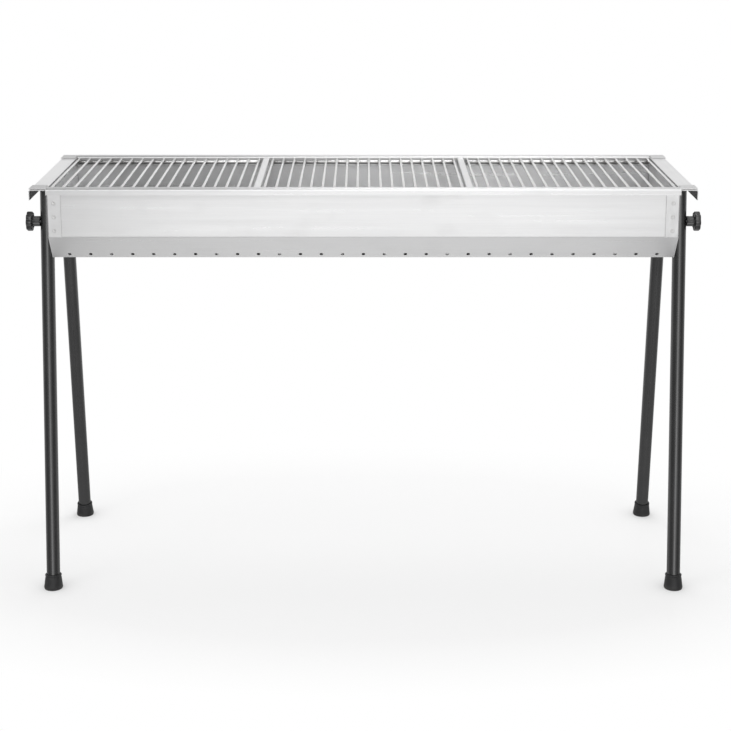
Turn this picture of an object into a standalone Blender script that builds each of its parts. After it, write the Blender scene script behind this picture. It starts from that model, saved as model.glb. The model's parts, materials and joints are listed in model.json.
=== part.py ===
"""Charcoal trough grill with three lift-out rod grates on four clamped tube legs.

Metres, +Z up, front towards -Y. The origin is on the floor under the middle of the grill.
The body is folded stainless sheet: one long trough, and an end plate at each end that
laps its walls. Round tubes stand against the end plates, each on its own knob bolt.
"""

import math

import bmesh
import bpy
from mathutils import Matrix, Vector

# Body of folded sheet
RIM_LENGTH = 1.200        # across the two side flaps
RIM_DEPTH = 0.370         # front lip to rear lip
RIM_HEIGHT = 0.765        # top of the rim above the floor
SIDE_FLANGE = 0.0285      # rim flange at each end, end plate to flap
SHEET = 0.0015
BEND = 0.0016             # inner radius of every fold
BEND_STEPS = 3
FLANGE = 0.020            # rim flange on the long sides, lip to wall
LIP_DROP = 0.0116
WALL_DROP = 0.0925        # upright part of the long walls
SLOPE_DROP = 0.0464       # sloped part below it
SLOPE_INSET = 0.037
EAR_DEPTH = 0.040         # corner ears of the long flange, over the side flange
FLAP_DROP = 0.019         # outer edge of the side flange, folded down
TAB_WIDTH = 0.0245        # end plate tabs on the long walls

# Air holes along both slopes
AIR_HOLES = 29
AIR_END = 0.0307          # first hole's centre to the end of the shell
AIR_RADIUS = 0.0035
AIR_ABOVE_BASE = 0.0095   # hole centre to the base fold, along the slope
AIR_SIDES = 8

# Ledges and cross bars that carry the grates
LEDGE_WIDTH = 0.020
LEDGE_LEG = 0.0115        # upright, against the wall
BAR_WIDTH = 0.013

# Cooking grates, and a charcoal tray under each
PLACES = ("left", "middle", "right")
GRATES = len(PLACES)
RODS = 18
ROD_RADIUS = 0.0025
ROD_BELOW_RIM = 0.0022    # top of the rods under the top of the rim
ROD_END_GAP = 0.002       # rod end to the ledge's upright leg
ROD_SIDES = 8
GRATE_GAP = 0.0275        # last rod of one grate to the first of the next
GRATE_END_GAP = 0.0025    # outermost rod to the end plate
CROSS_RADIUS = 0.003
CROSS_INSET = 0.0045      # cross rod to the rod ends
WELD_BITE = 0.0005        # how far a welded rod sinks into the one under it

# Charcoal trays on the slopes
TRAY_END_CLEAR = 0.0042   # tray end to the knob bolts
TRAY_SPACE = 0.0025       # between neighbouring trays
TRAY_HEIGHT = 0.0135      # flat of the tray above the trough base
TRAY_WING = 0.008         # edge folded up along the slope
SLOT_WIDTH = 0.008
SLOT_COLUMNS = 12
SLOT_END_MARGIN = 0.02825   # first slot's centre to the tray end
SLOT_SIDE_MARGIN = 0.036  # slot end to the tray's fold
SLOT_BRIDGE = 0.016       # metal left between the two slot rows
SLOT_END_STEPS = 3

# Legs
TUBE_RADIUS = 0.0125
TUBE_WALL = 0.0012
TUBE_SIDES = 24
SPLAY = math.radians(7.0)
PIVOT_FROM_WALL = 0.0645  # knob bolt to the outer face of the nearest long wall
PIVOT_BELOW_RIM = 0.0765
TUBE_HEAD_GAP = 0.0035    # tube head under the side flange

# Rubber feet
FOOT_HEIGHT = 0.027
FOOT_FLOOR = 0.006        # rubber under the tube end
FOOT_TOP_RADIUS = 0.0154
FOOT_BASE_RADIUS = 0.0176
FOOT_FLARE_TOP = 0.0162   # height at which the flare has run out
FOOT_GROOVE = 0.0009
FOOT_SIDES = 20

# Knob bolts
BOLT_RADIUS = 0.004
BOLT_PLAY = 0.0004        # radial play of the bolt in tube and plate
BOLT_SIDES = 12
BOLT_HOLE_SIDES = 16
NUT_HEIGHT = 0.0065
NUT_ACROSS_FLATS = 0.013
BOLT_BEYOND_NUT = 0.0015
KNOB_RADIUS = 0.0182
KNOB_THICKNESS = 0.0116
KNOB_STEM_RADIUS = 0.0096
KNOB_STEM_LENGTH = 0.0135
KNOB_LOBES = 8
KNOB_FLUTE = 0.0016
KNOB_LOBE_STEPS = 5
STEM_FLUTE = 0.0006
STEM_LOBE_STEPS = 3
KNOB_BORE_DEPTH = 0.018

GAP = 0.0003              # between pieces that touch

SIDES = ((-1, "left"), (1, "right"))
DEPTHS = ((-1, "front"), (1, "rear"))

# Worked out from the sizes above
WALL_OUT = RIM_DEPTH / 2 - FLANGE
WALL_IN = WALL_OUT - SHEET
BASE_Z = RIM_HEIGHT - WALL_DROP - SLOPE_DROP
BASE_OUT = WALL_OUT - SLOPE_INSET
SLOPE_ANGLE = math.atan2(SLOPE_INSET, SLOPE_DROP)
PLATE_OUT = RIM_LENGTH / 2 - SIDE_FLANGE
PLATE_IN = PLATE_OUT - SHEET
SHELL_END = PLATE_IN - GAP
AIR_PITCH = 2 * (SHELL_END - AIR_END) / (AIR_HOLES - 1)
LEDGE_IN = WALL_IN - GAP - SHEET
ROD_Z = RIM_HEIGHT - ROD_BELOW_RIM - ROD_RADIUS
GRATE_RUN = 2 * (PLATE_IN - GRATE_END_GAP - ROD_RADIUS)
ROD_PITCH = (GRATE_RUN - (GRATES - 1) * GRATE_GAP) / (GRATES * (RODS - 1))
GRATE_STEP = (RODS - 1) * ROD_PITCH + GRATE_GAP
CROSS_Z = ROD_Z - ROD_RADIUS - CROSS_RADIUS + WELD_BITE
LEDGE_TOP = CROSS_Z - CROSS_RADIUS - GAP
BOLT_END = PLATE_IN - GAP - NUT_HEIGHT - BOLT_BEYOND_NUT
TRAY_STEP = (2 * (BOLT_END - TRAY_END_CLEAR) + TRAY_SPACE) / GRATES
TRAY_LENGTH = TRAY_STEP - TRAY_SPACE
SLOT_PITCH = (TRAY_LENGTH - 2 * SLOT_END_MARGIN) / (SLOT_COLUMNS - 1)
TUBE_X = PLATE_OUT + GAP + TUBE_RADIUS
PIVOT_OUT = WALL_OUT - PIVOT_FROM_WALL
PIVOT_Z = RIM_HEIGHT - PIVOT_BELOW_RIM
BOLT_HOLE = BOLT_RADIUS + BOLT_PLAY


def clear_scene():
    for obj in list(bpy.data.objects):
        bpy.data.objects.remove(obj, do_unlink=True)


def material(name, colour, metallic, roughness):
    made = bpy.data.materials.new(name)
    made.use_nodes = True
    shader = made.node_tree.nodes["Principled BSDF"]
    shader.inputs["Base Color"].default_value = (*colour, 1.0)
    shader.inputs["Metallic"].default_value = metallic
    shader.inputs["Roughness"].default_value = roughness
    return made


def make_object(name, bm, finish=None):
    """A new object from a bmesh whose faces are turned outwards."""
    bmesh.ops.remove_doubles(bm, verts=bm.verts, dist=1e-6)
    bmesh.ops.recalc_face_normals(bm, faces=bm.faces)
    mesh = bpy.data.meshes.new(name)
    bm.to_mesh(mesh)
    bm.free()
    if finish:
        mesh.materials.append(finish)
    obj = bpy.data.objects.new(name, mesh)
    bpy.context.scene.collection.objects.link(obj)
    return obj


def copy_of(obj, name):
    """Another object on the same mesh."""
    copy = bpy.data.objects.new(name, obj.data)
    bpy.context.scene.collection.objects.link(copy)
    return copy


def smooth(obj, angle=35):
    obj.data.shade_smooth()
    obj.data.set_sharp_from_angle(angle=math.radians(angle))


def combine(obj, tool, operation):
    """Joins or cuts obj with tool, and removes the tool."""
    step = obj.modifiers.new(operation.title(), "BOOLEAN")
    step.operation = operation
    step.solver = "EXACT"
    step.object = tool
    bpy.context.view_layer.update()
    graph = bpy.context.evaluated_depsgraph_get()
    result = bpy.data.meshes.new_from_object(obj.evaluated_get(graph))
    obj.modifiers.remove(step)
    result.name = obj.name
    obj.data = result
    bpy.data.objects.remove(tool, do_unlink=True)


def cut(obj, tool):
    combine(obj, tool, "DIFFERENCE")


def join(obj, tool):
    combine(obj, tool, "UNION")


def in_row(number, count, pitch):
    """Place of one of several evenly spaced features about the middle."""
    return (number - (count - 1) / 2) * pitch


def prism(outline, plane, start, end):
    """A bmesh solid: a closed outline in plane 'YZ', 'XZ' or 'XY', extruded from start to end."""
    spots = {
        "YZ": lambda a, b, c: (c, a, b),
        "XZ": lambda a, b, c: (a, c, b),
        "XY": lambda a, b, c: (a, b, c),
    }[plane]
    bm = bmesh.new()
    face = bm.faces.new([bm.verts.new(spots(a, b, start)) for a, b in outline])
    grown = bmesh.ops.extrude_face_region(bm, geom=[face])
    moved = [item for item in grown["geom"] if isinstance(item, bmesh.types.BMVert)]
    bmesh.ops.translate(bm, verts=moved, vec=spots(0, 0, end - start))
    return bm


def block(low, high):
    bm = bmesh.new()
    bmesh.ops.create_cube(bm, size=1.0)
    low, high = Vector(low), Vector(high)
    bmesh.ops.scale(bm, verts=bm.verts, vec=high - low)
    bmesh.ops.translate(bm, verts=bm.verts, vec=(low + high) / 2)
    return bm


def folded(path, inner=BEND):
    """Outline of a folded sheet whose middle line follows path, with a round bend at each corner."""
    points = [Vector(p) for p in path]
    middle = inner + SHEET / 2
    line = [(points[0], (points[1] - points[0]).normalized())]
    for before, corner, after in zip(points, points[1:], points[2:]):
        into = (corner - before).normalized()
        out = (after - corner).normalized()
        turn = into.angle_signed(out)
        start = corner - into * middle * math.tan(abs(turn) / 2)
        side = Vector((-into.y, into.x)) * (1 if turn < 0 else -1)
        centre = start + side * middle
        for step in range(BEND_STEPS + 1):
            spin = Matrix.Rotation(-turn * step / BEND_STEPS, 2)
            line.append((centre + spin @ (start - centre), spin @ into))
    line.append((points[-1], (points[-1] - points[-2]).normalized()))
    half = SHEET / 2
    left = [p + Vector((-d.y, d.x)) * half for p, d in line]
    right = [p - Vector((-d.y, d.x)) * half for p, d in line]
    return left + right[::-1]


def cylinder(radius, start, end, sides, axis="X"):
    """A bmesh cylinder about the X, Y or Z axis, from start to end along it."""
    bm = bmesh.new()
    bmesh.ops.create_cone(
        bm, cap_ends=True, segments=sides, radius1=radius, radius2=radius, depth=end - start
    )
    bmesh.ops.translate(bm, verts=bm.verts, vec=(0, 0, (start + end) / 2))
    turn = {
        "X": Matrix.Rotation(math.pi / 2, 4, "Y"),
        "Y": Matrix.Rotation(-math.pi / 2, 4, "X"),
        "Z": Matrix.Identity(4),
    }[axis]
    bmesh.ops.transform(bm, matrix=turn, verts=bm.verts)
    return bm


def turned(profile, sides):
    """A bmesh solid turned about Z from (radius, height) points, closed unless both ends lie on the axis."""
    bm = bmesh.new()
    ring = [bm.verts.new((radius, 0, height)) for radius, height in profile]
    pairs = list(zip(ring, ring[1:]))
    if profile[0][0] > 0:
        pairs.append((ring[-1], ring[0]))
    edges = [bm.edges.new(pair) for pair in pairs]
    bmesh.ops.spin(
        bm, geom=ring + edges, cent=(0, 0, 0), axis=(0, 0, 1),
        angle=2 * math.pi, steps=sides, use_merge=True,
    )
    bmesh.ops.remove_doubles(bm, verts=bm.verts, dist=1e-6)
    return bm


def merged(parts):
    """One bmesh that holds all the given ones."""
    whole = bmesh.new()
    for part in parts:
        mesh = bpy.data.meshes.new("part")
        part.to_mesh(mesh)
        part.free()
        whole.from_mesh(mesh)
        bpy.data.meshes.remove(mesh)
    return whole


def air_hole_drills():
    """A short drill square to each slope at every air hole."""
    slope = math.hypot(SLOPE_INSET, SLOPE_DROP)
    share = (slope - AIR_ABOVE_BASE) / slope
    height = RIM_HEIGHT - WALL_DROP - SLOPE_DROP * share
    through = 3 * SHEET
    drills = []
    for face, _ in DEPTHS:
        turn = Matrix.Rotation(face * (math.pi / 2 - SLOPE_ANGLE), 4, "X")
        for number in range(AIR_HOLES):
            drill = cylinder(AIR_RADIUS, -through, through, AIR_SIDES, "Z")
            spot = (in_row(number, AIR_HOLES, AIR_PITCH), face * (WALL_OUT - SLOPE_INSET * share), height)
            bmesh.ops.transform(drill, verts=drill.verts, matrix=Matrix.Translation(spot) @ turn)
            drills.append(drill)
    return merged(drills)


def trough_shell(finish):
    """The long sheet: lip, flange, wall, slope and base, and the same up the other side."""
    half = SHEET / 2
    side = [
        (-RIM_DEPTH / 2 + half, RIM_HEIGHT - LIP_DROP),
        (-RIM_DEPTH / 2 + half, RIM_HEIGHT - half),
        (-WALL_OUT + half, RIM_HEIGHT - half),
        (-WALL_OUT + half, RIM_HEIGHT - WALL_DROP),
        (-BASE_OUT + half, BASE_Z + half),
    ]
    path = side + [(-y, z) for y, z in reversed(side)]
    shell = make_object("trough_shell", prism(folded(path), "YZ", -SHELL_END, SHELL_END), finish)
    # An ear reaches back into the flange, and is a hair thinner so that no faces coincide.
    root = SHELL_END - FLANGE / 2
    outer = RIM_DEPTH / 2 - BEND - SHEET
    ear = [
        (root, outer),
        (RIM_LENGTH / 2, outer),
        (RIM_LENGTH / 2, RIM_DEPTH / 2 - EAR_DEPTH),
        (PLATE_OUT + GAP, RIM_DEPTH / 2 - EAR_DEPTH),
        (PLATE_OUT + GAP, WALL_OUT + BEND + GAP),
        (root, WALL_OUT + BEND + GAP),
    ]
    top = RIM_HEIGHT - GAP / 2
    under = RIM_HEIGHT - SHEET + GAP / 2
    for end, _ in SIDES:
        for face, _ in DEPTHS:
            outline = [(x * end, y * face) for x, y in ear]
            join(shell, make_object("ear", prism(outline, "XY", under, top)))
    cut(shell, make_object("air_hole_drills", air_hole_drills()))
    smooth(shell)
    return shell


def end_plate(name, end, finish):
    """One end: a wall with a tab lapped on each long wall, a flange folded out and a flap folded down."""
    half = SHEET / 2
    lap = WALL_OUT + GAP + half
    wall_top = RIM_HEIGHT - SHEET - GAP
    far = RIM_LENGTH
    plan = [
        (PLATE_OUT - TAB_WIDTH, -lap),
        (PLATE_OUT - half, -lap),
        (PLATE_OUT - half, lap),
        (PLATE_OUT - TAB_WIDTH, lap),
    ]
    outline = [(x * end, y) for x, y in folded(plan, inner=GAP)]
    plate = make_object(name, prism(outline, "XY", BASE_Z, wall_top), finish)
    for face, _ in DEPTHS:
        slope = [
            (face * (lap + far), RIM_HEIGHT - WALL_DROP),
            (face * WALL_OUT, RIM_HEIGHT - WALL_DROP),
            (face * BASE_OUT, BASE_Z),
            (face * BASE_OUT, BASE_Z - far),
            (face * (lap + far), BASE_Z - far),
        ]
        cut(plate, make_object("slope_cut", prism(slope, "YZ", -far, far)))
    # The tabs stop under the bend of the trough's own flange.
    under_bend = wall_top - BEND - GAP
    near, beyond = sorted([0, end * (PLATE_IN - GAP / 2)])
    cut(plate, make_object("tab_tops", block((near, -far, under_bend), (beyond, far, RIM_HEIGHT))))
    rim = [
        (PLATE_OUT - half, wall_top - half),
        (RIM_LENGTH / 2 - half, wall_top - half),
        (RIM_LENGTH / 2 - half, wall_top - FLAP_DROP),
    ]
    outline = [(x * end, z) for x, z in folded(rim)]
    join(plate, make_object("side_flange", prism(outline, "XZ", -RIM_DEPTH / 2, RIM_DEPTH / 2)))
    for face, _ in DEPTHS:
        drill = cylinder(BOLT_HOLE, PLATE_IN - SHEET, PLATE_OUT + SHEET, BOLT_HOLE_SIDES)
        bmesh.ops.scale(drill, verts=drill.verts, vec=(end, 1, 1))
        bmesh.ops.translate(drill, verts=drill.verts, vec=(0, face * PIVOT_OUT, PIVOT_Z))
        cut(plate, make_object("bolt_hole", drill))
    smooth(plate)
    return plate


def ledge(name, face, finish):
    """An angle strip along a long wall, which carries the grates and the cross bars."""
    half = SHEET / 2
    wall = WALL_IN - GAP
    path = [
        (face * (wall - LEDGE_WIDTH), LEDGE_TOP - half),
        (face * (wall - half), LEDGE_TOP - half),
        (face * (wall - half), LEDGE_TOP - SHEET + LEDGE_LEG),
    ]
    strip = make_object(name, prism(folded(path), "YZ", -SHELL_END, SHELL_END), finish)
    smooth(strip)
    return strip


def cross_bar(name, x, finish):
    """A folded channel from ledge to ledge, between two grates. Its ends stay off the bends of the ledges."""
    half = SHEET / 2
    top = RIM_HEIGHT - ROD_BELOW_RIM - half
    foot_z = LEDGE_TOP + GAP
    reach = BAR_WIDTH / 2 - half
    path = [(x - reach, foot_z), (x - reach, top), (x + reach, top), (x + reach, foot_z)]
    reach_y = LEDGE_IN - BEND
    bar = make_object(name, prism(folded(path), "XZ", -reach_y, reach_y), finish)
    smooth(bar)
    return bar


def cooking_grate(name, finish):
    """Round rods front to back, welded on a cross rod near each end."""
    span = (RODS - 1) * ROD_PITCH / 2
    reach = LEDGE_IN - ROD_END_GAP
    rods = []
    for number in range(RODS):
        rod = cylinder(ROD_RADIUS, -reach, reach, ROD_SIDES, "Y")
        bmesh.ops.translate(rod, verts=rod.verts, vec=(in_row(number, RODS, ROD_PITCH), 0, 0))
        rods.append(rod)
    grate = make_object(name, merged(rods), finish)
    for face, _ in DEPTHS:
        rod = cylinder(CROSS_RADIUS, -span - ROD_RADIUS, span + ROD_RADIUS, ROD_SIDES)
        bmesh.ops.translate(rod, verts=rod.verts, vec=(0, face * (reach - CROSS_INSET), CROSS_Z - ROD_Z))
        join(grate, make_object("cross_rod", rod))
    smooth(grate, 50)
    return grate


def slot(across, middle, length):
    """Outline of a slot along Y with round ends."""
    straight = (length - SLOT_WIDTH) / 2
    outline = []
    for end in (1, -1):
        for step in range(SLOT_END_STEPS + 1):
            turn = math.pi * step / SLOT_END_STEPS
            outline.append((
                across + end * math.cos(turn) * SLOT_WIDTH / 2,
                middle + end * (straight + math.sin(turn) * SLOT_WIDTH / 2),
            ))
    return outline


def charcoal_tray(name, finish):
    """A slotted sheet that rests on the slopes, with its edges folded up along them."""
    half = SHEET / 2
    off_slope = (SHEET + GAP + half) / math.cos(SLOPE_ANGLE)
    fold = BASE_OUT + (TRAY_HEIGHT + half) * math.tan(SLOPE_ANGLE) - off_slope
    wing_out = TRAY_WING * math.sin(SLOPE_ANGLE)
    wing_up = TRAY_WING * math.cos(SLOPE_ANGLE)
    path = [(-fold - wing_out, wing_up), (-fold, 0), (fold, 0), (fold + wing_out, wing_up)]
    tray = make_object(name, prism(folded(path), "YZ", -TRAY_LENGTH / 2, TRAY_LENGTH / 2), finish)
    length = fold - SLOT_SIDE_MARGIN - SLOT_BRIDGE / 2
    through = 2 * SHEET
    slots = []
    for row, _ in DEPTHS:
        for column in range(SLOT_COLUMNS):
            across = in_row(column, SLOT_COLUMNS, SLOT_PITCH)
            outline = slot(across, row * (length + SLOT_BRIDGE) / 2, length)
            slots.append(prism(outline, "XY", -through, through))
    cut(tray, make_object("slots", merged(slots)))
    smooth(tray)
    return tray


def leg_tube(name, finish):
    """A tube about the Z axis with its bolt hole through the origin, along X."""
    head = 2 * SHEET + GAP + TUBE_HEAD_GAP
    above = PIVOT_BELOW_RIM - head - TUBE_RADIUS * math.tan(SPLAY)
    below = PIVOT_Z / math.cos(SPLAY) - FOOT_FLOOR
    inner = TUBE_RADIUS - TUBE_WALL
    profile = [(inner, -below), (TUBE_RADIUS, -below), (TUBE_RADIUS, above), (inner, above)]
    tube = make_object(name, turned(profile, TUBE_SIDES), finish)
    through = 2 * TUBE_RADIUS
    cut(tube, make_object("bolt_hole", cylinder(BOLT_HOLE, -through, through, BOLT_HOLE_SIDES)))
    smooth(tube)
    return tube


def foot(name, splay, finish):
    """A flared rubber cup on the tube end, with a flat sole on the floor. Built about the leg's pivot."""
    end = -PIVOT_Z / math.cos(SPLAY)
    bore = TUBE_RADIUS + GAP
    below_sole = -2 * FOOT_BASE_RADIUS * math.tan(SPLAY)
    edge = FOOT_GROOVE
    neck = FOOT_TOP_RADIUS - edge
    profile = [
        (0, below_sole),
        (FOOT_BASE_RADIUS - edge, below_sole),
        (FOOT_BASE_RADIUS, 3 * edge),
        (FOOT_BASE_RADIUS - edge, 7 * edge),
        (FOOT_TOP_RADIUS, FOOT_FLARE_TOP),
        (neck, FOOT_HEIGHT - 5 * edge),
        (neck, FOOT_HEIGHT - 4 * edge),
        (FOOT_TOP_RADIUS, FOOT_HEIGHT - 3 * edge),
        (FOOT_TOP_RADIUS, FOOT_HEIGHT - edge),
        (neck, FOOT_HEIGHT),
        (bore, FOOT_HEIGHT),
        (bore, FOOT_FLOOR - GAP),
        (0, FOOT_FLOOR - GAP),
    ]
    bm = turned([(radius, height + end) for radius, height in profile], FOOT_SIDES)
    down = Matrix.Rotation(splay, 3, "X").inverted() @ Vector((0, 0, -1))
    cutoff = bmesh.ops.bisect_plane(
        bm, geom=bm.verts[:] + bm.edges[:] + bm.faces[:],
        plane_co=down * PIVOT_Z, plane_no=down, clear_outer=True,
    )
    rim = [item for item in cutoff["geom_cut"] if isinstance(item, bmesh.types.BMEdge)]
    bmesh.ops.edgeloop_fill(bm, edges=rim)
    made = make_object(name, bm, finish)
    smooth(made)
    return made


def fluted(radius, depth, lobe_steps):
    """Outline of a circle with evenly spaced hollows, as (across, up) points."""
    count = KNOB_LOBES * lobe_steps
    outline = []
    for number in range(count):
        turn = 2 * math.pi * number / count
        reach = radius - depth * (1 - math.cos(KNOB_LOBES * turn)) / 2
        outline.append((reach * math.cos(turn), reach * math.sin(turn)))
    return outline


def knob(name, finish):
    """A fluted head with a crowned face on a ribbed stem, bored for the bolt. Its axis is X, outwards."""
    base = TUBE_RADIUS + GAP
    head = base + KNOB_STEM_LENGTH
    face = head + KNOB_THICKNESS
    chamfer = KNOB_FLUTE
    rings = [
        (head, chamfer),
        (head + chamfer, 0),
        (face - 2 * chamfer, 0),
        (face - chamfer / 2, chamfer),
        (face, 4 * chamfer),
    ]
    bm = bmesh.new()
    loops = []
    for x, shrink in rings:
        outline = fluted(KNOB_RADIUS - shrink, KNOB_FLUTE, KNOB_LOBE_STEPS)
        loops.append([bm.verts.new((x, y, z)) for y, z in outline])
    for low, high in zip(loops, loops[1:]):
        for number, corner in enumerate(low):
            after = (number + 1) % len(low)
            bm.faces.new([corner, low[after], high[after], high[number]])
    bm.faces.new(loops[0][::-1])
    bm.faces.new(loops[-1])
    made = make_object(name, bm, finish)
    stem = fluted(KNOB_STEM_RADIUS, STEM_FLUTE, STEM_LOBE_STEPS)
    join(made, make_object("stem", prism(stem, "YZ", base, head + KNOB_THICKNESS / 2)))
    cut(made, make_object("bore", cylinder(BOLT_RADIUS + GAP, -base, base + KNOB_BORE_DEPTH, BOLT_SIDES)))
    smooth(made, 30)
    return made


def knob_bolt(name, finish):
    """The knob's threaded stud, from its bore through tube and plate to past the nut."""
    outer_end = TUBE_RADIUS + KNOB_BORE_DEPTH
    bolt = make_object(name, cylinder(BOLT_RADIUS, BOLT_END - TUBE_X, outer_end, BOLT_SIDES), finish)
    smooth(bolt)
    return bolt


def weld_nut(name, finish):
    """A hexagon nut on the inner face of the end plate, about the bolt's axis."""
    outer = PLATE_IN - GAP - TUBE_X
    corner = NUT_ACROSS_FLATS / math.sqrt(3)
    turns = [side * math.pi / 3 for side in range(6)]
    outline = [(corner * math.cos(turn), corner * math.sin(turn)) for turn in turns]
    nut = make_object(name, prism(outline, "YZ", outer - NUT_HEIGHT, outer), finish)
    thread = cylinder(BOLT_RADIUS + GAP, outer - 2 * NUT_HEIGHT, outer + NUT_HEIGHT, BOLT_SIDES)
    cut(nut, make_object("thread", thread))
    return nut


def pivot(where, end, face):
    """An empty on the bolt axis at one corner, which carries the leg, knob, bolt and nut."""
    made = bpy.data.objects.new("pivot" + where, None)
    bpy.context.scene.collection.objects.link(made)
    made.location = (end * TUBE_X, face * PIVOT_OUT, PIVOT_Z)
    return made


def build():
    steel = material("brushed_stainless", (0.82, 0.82, 0.82), 1.0, 0.26)
    rod_steel = material("polished_rod", (0.88, 0.88, 0.88), 1.0, 0.22)
    tray_steel = material("tray_steel", (0.60, 0.60, 0.60), 1.0, 0.38)
    zinc = material("zinc_plate", (0.68, 0.68, 0.68), 1.0, 0.34)
    coated = material("powder_coat", (0.030, 0.030, 0.031), 0.0, 0.38)
    rubber = material("black_rubber", (0.024, 0.024, 0.025), 0.0, 0.6)
    plastic = material("black_plastic", (0.013, 0.013, 0.014), 0.0, 0.35)

    trough_shell(steel)
    for face, depth in DEPTHS:
        ledge("ledge_" + depth, face, steel)
    for end, side in SIDES:
        end_plate("end_plate_" + side, end, steel)
        cross_bar("cross_bar_" + side, end * GRATE_STEP / 2, steel)

    first_grate = cooking_grate("cooking_grate_" + PLACES[0], rod_steel)
    first_tray = charcoal_tray("charcoal_tray_" + PLACES[0], tray_steel)
    for number, place in enumerate(PLACES):
        grate = copy_of(first_grate, "cooking_grate_" + place) if number else first_grate
        tray = copy_of(first_tray, "charcoal_tray_" + place) if number else first_tray
        grate.location = (in_row(number, GRATES, GRATE_STEP), 0, ROD_Z)
        tray.location = (in_row(number, GRATES, TRAY_STEP), 0, BASE_Z + TRAY_HEIGHT + SHEET / 2)

    makers = {
        "leg": (leg_tube, coated),
        "knob": (knob, plastic),
        "knob_bolt": (knob_bolt, zinc),
        "weld_nut": (weld_nut, zinc),
    }
    first = {}
    for face, depth in DEPTHS:
        for end, side in SIDES:
            where = "_" + depth + "_" + side
            carrier = pivot(where, end, face)
            for kind, (maker, finish) in makers.items():
                name = kind + where
                piece = copy_of(first[kind], name) if kind in first else maker(name, finish)
                first.setdefault(kind, piece)
                piece.parent = carrier
                if kind == "leg":
                    piece.rotation_euler = (face * SPLAY, 0, 0)
                    foot("foot" + where, face * SPLAY, rubber).parent = piece
                else:
                    piece.rotation_euler = (0, 0, 0 if end > 0 else math.pi)


clear_scene()
build()
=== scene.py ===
"""Finishes, fine pieces, light and camera for the charcoal trough grill.

Metres, +Z up, front towards -Y, as in the frame.
"""

import json
import math

import bmesh
import bpy
from mathutils import Matrix, Vector


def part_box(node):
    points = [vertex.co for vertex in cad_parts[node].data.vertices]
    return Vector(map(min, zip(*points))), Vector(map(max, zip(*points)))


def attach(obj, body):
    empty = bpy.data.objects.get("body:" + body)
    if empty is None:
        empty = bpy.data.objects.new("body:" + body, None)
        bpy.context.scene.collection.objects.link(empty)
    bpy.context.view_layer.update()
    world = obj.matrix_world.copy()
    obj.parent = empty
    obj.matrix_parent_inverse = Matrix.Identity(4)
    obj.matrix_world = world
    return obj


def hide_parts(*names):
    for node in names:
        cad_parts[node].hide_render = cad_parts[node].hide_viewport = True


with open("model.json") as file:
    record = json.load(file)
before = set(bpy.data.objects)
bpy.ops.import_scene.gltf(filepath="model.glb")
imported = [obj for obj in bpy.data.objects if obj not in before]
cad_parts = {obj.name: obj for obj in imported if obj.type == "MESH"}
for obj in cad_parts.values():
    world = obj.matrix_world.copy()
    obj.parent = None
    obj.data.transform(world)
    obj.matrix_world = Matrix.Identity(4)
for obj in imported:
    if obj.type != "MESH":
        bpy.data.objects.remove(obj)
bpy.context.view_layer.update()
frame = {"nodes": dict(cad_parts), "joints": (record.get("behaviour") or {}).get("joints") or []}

# Sizes of the frame that the fine pieces repeat
RIM_DEPTH = 0.370
RIM_HEIGHT = 0.765
FLANGE = 0.020
SIDE_FLANGE = 0.0285
SHEET = 0.0015
GAP = 0.0003
TAB_WIDTH = 0.0245
RODS = 18
ROD_RADIUS = 0.0025
CROSS_RADIUS = 0.003
CROSS_INSET = 0.0045
CROSS_DROP = 0.005        # a cross rod's axis under the rods' axes
TUBE_RADIUS = 0.0125
TUBE_WALL = 0.0012
TUBE_HEAD_GAP = 0.0035
PIVOT_BELOW_RIM = 0.0765
SPLAY = math.radians(7.0)
FOOT_FLOOR = 0.006
FOOT_HEIGHT = 0.027
BOLT_RADIUS = 0.004
BOLT_HOLE = 0.0044
NUT_ACROSS_FLATS = 0.013
KNOB_RADIUS = 0.0182
KNOB_LOBES = 8
KNOB_STEM = 0.0135        # tube to head
KNOB_STEM_RADIUS = 0.0096
KNOB_BORE = 0.018

# Sizes of the fine forms
KNOB_FLUTE = 0.0020
STEM_RIBS = 16
STEM_RIB_DEPTH = 0.0009
THREAD_PITCH = 0.00125
THREAD_DEPTH = 0.0006
WELD_BEAD = (1.18, 1.18, 0.55)    # half axes, as shares of the rod's radius
WELD_DROPS = (0.028, 0.0535, 0.079)   # spot welds, below the rim

# How finely they are drawn
ROD_SIDES = 16
BORE_SIDES = 32
ROUND_SIDES = 64
SAME_SPOT = 1e-6          # vertices nearer than this are one

ENDS = ((-1, "left"), (1, "right"))
DEPTHS = ((-1, "front"), (1, "rear"))
PLACES = ("left", "middle", "right")


# Camera, fitted to the photo

PHOTO_WIDTH = 731.0       # px
FOCAL_LENGTH = 1675.0     # px
SENSOR_WIDTH = 36.0       # mm
LENS_SHIFT_X = 0.0029
LENS_SHIFT_Y = -0.18
CAMERA_BACK = 2.9465      # from the rim's front edge
CAMERA_ABOVE = 0.5589     # over the rim
CAMERA_DIP = 12.277       # degrees below the horizon


def place_camera():
    data = bpy.data.cameras.new("photo_camera")
    data.sensor_width = SENSOR_WIDTH
    data.lens = SENSOR_WIDTH * FOCAL_LENGTH / PHOTO_WIDTH
    data.shift_x = LENS_SHIFT_X
    data.shift_y = LENS_SHIFT_Y
    camera = bpy.data.objects.new("photo_camera", data)
    bpy.context.scene.collection.objects.link(camera)
    camera.location = (0.0, -RIM_DEPTH / 2 - CAMERA_BACK, RIM_HEIGHT + CAMERA_ABOVE)
    camera.rotation_euler = (math.radians(90.0 - CAMERA_DIP), 0.0, 0.0)
    bpy.context.scene.camera = camera


# Node helpers

# A Mix node's factor, first and second inputs, by what it mixes
MIX_COLOUR = (0, 6, 7)
MIX_VALUE = (0, 2, 3)


def add(tree, kind, **settings):
    node = tree.nodes.new(kind)
    for name, value in settings.items():
        setattr(node, name, value)
    return node


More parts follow.
